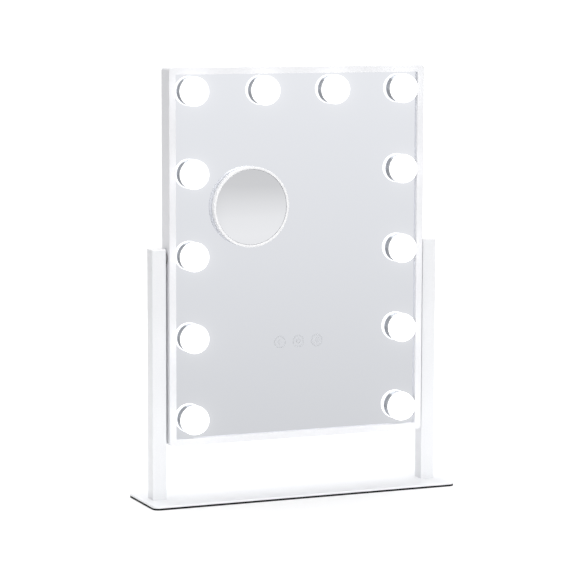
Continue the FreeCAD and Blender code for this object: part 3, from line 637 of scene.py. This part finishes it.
def addScrews():
    form = bmesh.new()
    crosses = bmesh.new()
    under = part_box("back_panel")[1].y
    for number, (low, high) in enumerate(solidBoxes("back_panel_screws")):
        centre = Vector(((low.x + high.x) / 2, under, (low.z + high.z) / 2))
        radius = (high.x - low.x) / 2 / mm
        top, tip = (high.y - under) / mm, (low.y - under) / mm
        shank = radius * screw["shank"]
        profile = [
            (0, top),
            (radius * 0.6, top - screw["crown"] * 0.2),
            (radius, top - screw["crown"], 0.2),
            (radius, 0.01),
            (shank, 0.01),
            (shank, tip + screw["tip"]),
            (shank * 0.6, tip),
            (0, tip),
        ]
        turnedForm(form, softened(profile), centre, segments=screw["segments"], forwards=1)
        tall = 4  # height of the cross's bars, most of it above the head
        for turn in (0, math.pi / 2):
            size = Vector((radius * screw["reach"] * 2, tall, screw["recessWidth"])) * mm
            middle = Vector((centre.x, high.y + (tall / 2 - screw["recessDepth"]) * mm, centre.z))
            place = Matrix.Translation(middle) @ Matrix.Rotation(number * screw["lean"] + turn, 4, "Y")
            bmesh.ops.create_cube(crosses, size=1, matrix=place @ Matrix.Diagonal((*size, 1)))
    piece = addPiece("panel_screw_heads", form, zincPlatedSteel, "mirror_head")
    tool = bpy.data.objects.new("crosses", bpy.data.meshes.new("crosses"))
    bmesh.ops.recalc_face_normals(crosses, faces=crosses.faces[:])
    crosses.to_mesh(tool.data)
    crosses.free()
    scene.collection.objects.link(tool)
    cut = piece.modifiers.new("recess", "BOOLEAN")
    cut.object = tool
    cut.solver = "EXACT"
    cut.use_self = True
    ready = piece.evaluated_get(bpy.context.evaluated_depsgraph_get())
    carved = bpy.data.meshes.new_from_object(ready)
    piece.modifiers.clear()
    piece.data = carved
    bpy.data.objects.remove(tool)
    carved.set_sharp_from_angle(angle=math.radians(30))
    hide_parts("back_panel_screws")


addScrews()
print("screws turned")


# Touch symbols, etched: half moon for the colour of the light, power, and sun for its brightness.
symbols = {
    "from": (-20.4, 1.6, 23.7),   # each symbol's middle, from the middle of the mirror
    "above": 2.0,                 # how far the symbols sit above the board's middle
    "ringRadius": 6.2,
    "ringWidth": 1.5,
    "markWidth": 1.2,
    "rayWidth": 0.84,
    "thickness": 0.05,
    "standoff": 0.01,             # air between the glass and the back of each mark
}


def arc(centre, radius, start, end, steps):
    angles = [math.radians(start + (end - start) * k / steps) for k in range(steps + 1)]
    return [centre + Vector((math.cos(a), math.sin(a))) * radius * mm for a in angles]


def addSymbols():
    height = middleOf("touch_board").z + symbols["above"] * mm
    back = glassFront - symbols["standoff"] * mm
    front = back - symbols["thickness"] * mm
    names = ("symbol_colour", "symbol_power", "symbol_brightness")
    mark, ray = symbols["markWidth"], symbols["rayWidth"]
    for name, x in zip(names, symbols["from"]):
        centre = Vector((x * mm, height))
        form = bmesh.new()
        lines = [(arc(centre, symbols["ringRadius"], 0, 360, 64)[:-1], symbols["ringWidth"], True)]
        if name == "symbol_power":
            lines.append((arc(centre, 2.3, 130, 410, 28), mark, False))
            bar = [centre + Vector((0, rise)) * mm for rise in (0.6, 3.5)]
            lines.append((bar, mark, False))
        elif name == "symbol_colour":
            lines.append((arc(centre, 2.6, 90, 270, 20), mark, False))
            lines.append((arc(centre, 0.8, 90, -90, 12), mark, False))
        else:
            lines.append((arc(centre, 1.3, 0, 360, 24)[:-1], mark, True))
            for k in range(8):
                a = math.radians(45 * k)
                way = Vector((math.cos(a), math.sin(a))) * mm
                lines.append(([centre + way * 2.6, centre + way * 3.9], ray, False))
        for k, (line, width, closed) in enumerate(lines):
            # each stroke is a hair thicker than the one before, so that no two faces share a plane
            strokeForm(form, line, width * mm, closed, back + 0.001 * k * mm, front - 0.002 * k * mm)
        addPiece(name, form, etchedSilver, "mirror_head")


addSymbols()
print("symbols etched")


# A round table top under the object, and a soft white room around it.
studio = {
    "tableRadius": 1.5,
    "tableMiddle": (0, 1.2),
    "tableColour": "#F9F9F9",
    "strength": 2.0,
    "turnover": 0.3,         # how far past the mirror's plane the front of the room fades into its back
    "flagEdge": (0.5, 0.95), # cosines from the middle of a flag at which it starts and is whole
}
# brightness of the room by height, from straight down to straight up, in front of the mirror and behind it
frontRoom = (
    (-1, 0.6),
    (-0.34, 0.69),
    (-0.2, 0.72),
    (-0.11, 0.85),
    (-0.03, 0.94),
    (0.06, 0.97),
    (0.3, 0.9),
    (1, 0.85),
)
backRoom = ((-1, 1.16), (-0.01, 1.16), (0.02, 0.7), (0.35, 0.55), (1, 0.9))
# direction, level: black flags behind the mirror at either side make its white edges show, and a white
# reflector at the left front fills the sides of the bulbs and the magnifier
flags = (((-0.87, 0.5), 0.05), ((1.0, 0.0), 0.25), ((-0.9, -0.43), 1.25))


def addTable():
    form = bmesh.new()
    bmesh.ops.create_circle(form, cap_ends=True, segments=128, radius=studio["tableRadius"])
    mesh = bpy.data.meshes.new("table")
    form.to_mesh(mesh)
    form.free()
    table = bpy.data.objects.new("table", mesh)
    table.location = (*studio["tableMiddle"], cadBounds[0].z - 0.05 * mm)
    scene.collection.objects.link(table)
    laminate = newMaterial("paleLaminate", Base_Color=linear(studio["tableColour"]), Roughness=0.8)[0]
    mesh.materials.append(laminate)


def addRoom():
    world = bpy.data.worlds.new("room")
    scene.world = world
    world.use_nodes = True
    tree = world.node_tree
    place = addNode(tree, "ShaderNodeTexCoord")
    way = addNode(tree, "ShaderNodeSeparateXYZ", links={"Vector": place.outputs["Generated"]})
    height = addNode(tree, "ShaderNodeMapRange", {"From Min": -1, "From Max": 1}, {"Value": way.outputs["Z"]})
    ramps = []
    for stops in (frontRoom, backRoom):
        ramp = addNode(tree, "ShaderNodeValToRGB", links={"Fac": height.outputs["Result"]})
        elements = ramp.color_ramp.elements
        while len(elements) < len(stops):
            elements.new(0.5)
        for element, (z, level) in zip(elements, stops):
            element.position = (z + 1) / 2
            element.color = [level / studio["strength"]] * 3 + [1]
        ramps.append(ramp)
    behind = addNode(
        tree,
        "ShaderNodeMapRange",
        {"From Min": -studio["turnover"], "From Max": studio["turnover"]},
        {"Value": way.outputs["Y"]},
        interpolation_type="SMOOTHSTEP",
    )
    room = addNode(tree, "ShaderNodeMix", links={"Factor": behind.outputs["Result"]}, data_type="RGBA")
    tree.links.new(ramps[0].outputs["Color"], room.inputs[6])
    tree.links.new(ramps[1].outputs["Color"], room.inputs[7])
    level = room.outputs[2]
    edge = studio["flagEdge"]
    for direction, share in flags:
        facing = addNode(
            tree,
            "ShaderNodeVectorMath",
            {1: (*direction, 0)},
            {0: place.outputs["Generated"]},
            operation="DOT_PRODUCT",
        )
        factor = addNode(
            tree,
            "ShaderNodeMapRange",
            {"From Min": edge[0], "From Max": edge[1], "To Min": 1.0, "To Max": share},
            {"Value": facing.outputs["Value"]},
            interpolation_type="SMOOTHSTEP",
        )
        level = addNode(
            tree,
            "ShaderNodeVectorMath",
            links={0: level, "Scale": factor.outputs["Result"]},
            operation="SCALE",
        ).outputs["Vector"]
    background = tree.nodes["Background"]
    background.inputs["Strength"].default_value = studio["strength"]
    tree.links.new(level, background.inputs["Color"])


# name, place, what it points at, side in metres, power in watts
softboxes = (
    ("overheadSoftbox", (0.2, 1.0, 2.6), (0.1, 0.6, 0), 2.8, 62),
    ("frontSoftbox", (0.9, -2.6, 1.9), (0, 0, 0.25), 1.8, 22),
)


def addSoftboxes():
    for name, place, aim, side, power in softboxes:
        light = bpy.data.lights.new(name, "AREA")
        light.shape = "SQUARE"
        light.size = side
        light.energy = power
        lamp = bpy.data.objects.new(name, light)
        lamp.location = place
        lamp.rotation_euler = (Vector(aim) - Vector(place)).to_track_quat("-Z", "Y").to_euler()
        scene.collection.objects.link(lamp)


addTable()
addRoom()
addSoftboxes()
scene.view_settings.view_transform = "Standard"


# The lens lets the lit bulbs bleed a little into their surroundings.
bloom = {"Threshold": 1.6, "Strength": 0.4, "Size": 0.1}


def addBloom():
    scene.use_nodes = True
    tree = scene.node_tree
    tree.nodes.clear()
    layers = addNode(tree, "CompositorNodeRLayers")
    picture = {"Image": layers.outputs["Image"]}
    glare = addNode(tree, "CompositorNodeGlare", bloom, picture, glare_type="BLOOM")
    addNode(tree, "CompositorNodeComposite", links={"Image": glare.outputs["Image"]})


addBloom()
print("studio lit")
